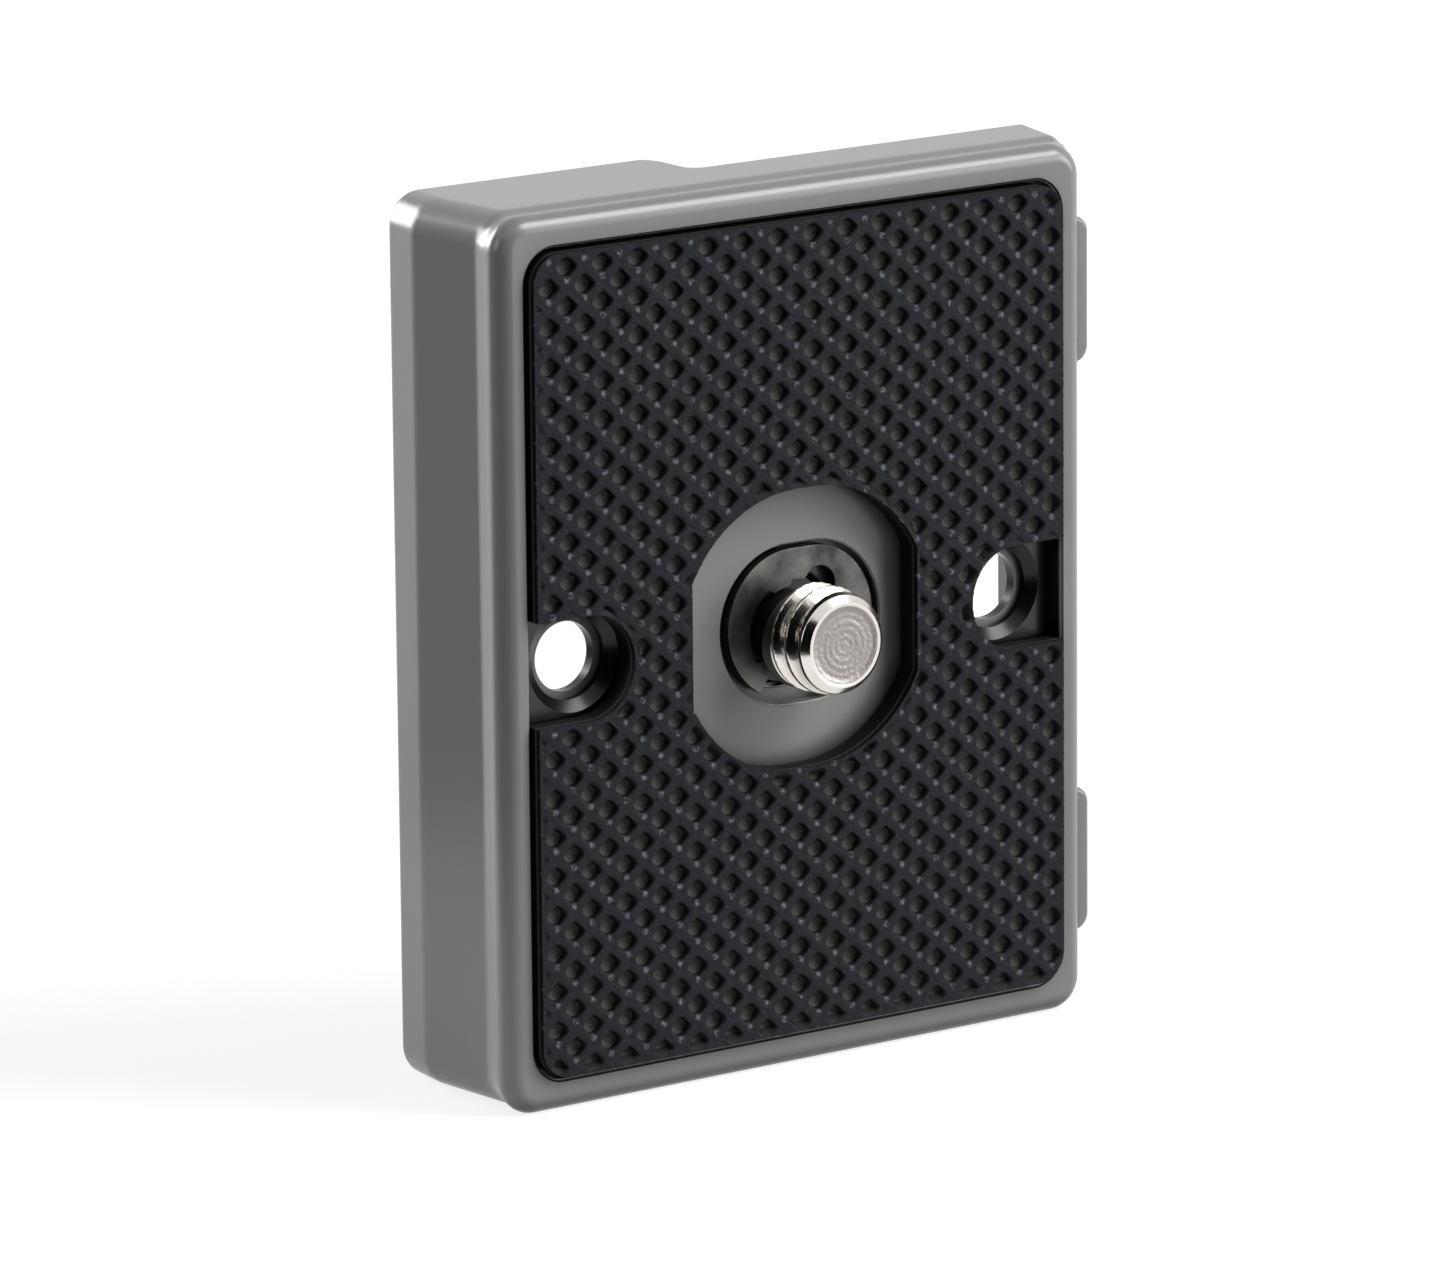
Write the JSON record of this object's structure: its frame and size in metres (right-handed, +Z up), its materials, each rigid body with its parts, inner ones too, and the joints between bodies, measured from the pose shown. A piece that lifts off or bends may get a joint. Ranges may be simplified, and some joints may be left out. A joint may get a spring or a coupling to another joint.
{
  "type": "quick release plate",
  "caption": "Rectangular cast camera plate with a wedge-sided back, pitted rubber pad, central camera screw held by a spring clip, folding wire ring, two through holes and two edge stops.",
  "frame": {"origin": "On the flat bottom end of the casting, which it stands on, on the centre line of the plate and 5 mm behind the rim round the pad.", "axes": "X across the plate to the side with the stops, Y from the camera side to the tripod side, Z up along the plate."},
  "size_m": [0.0432, 0.0157, 0.0525],
  "materials": {
    "painted_alloy": "grey semi-gloss paint on die-cast aluminium alloy",
    "black_rubber": "matt black moulded rubber",
    "nickel_steel": "bright nickel plating on turned steel",
    "blackened_steel": "blackened stamped spring steel",
    "steel_wire": "bright drawn steel wire"
  },
  "bodies": {
    "plate": {"plate_body": "painted_alloy", "rubber_pad": "black_rubber"},
    "clip": {"retaining_ring": "blackened_steel"},
    "screw": {"camera_screw": "nickel_steel"},
    "handle": {"screw_handle": "steel_wire"}
  },
  "joints": [
    {"name": "screw_slide", "type": "slide", "parent": "plate", "child": "clip", "axis": [1, 0, 0], "range_m": [-0.0005, 0.0002]},
    {"name": "screw_spin", "type": "hinge", "parent": "clip", "child": "screw", "pos_m": [0.0004, 0, 0.02575], "axis": [0, 1, 0], "continuous": true},
    {"name": "handle_fold", "type": "hinge", "parent": "screw", "child": "handle", "pos_m": [0.0004, 0.0002, 0.02575], "axis": [1, 0, 0], "range_deg": [0, 180]}
  ]
}
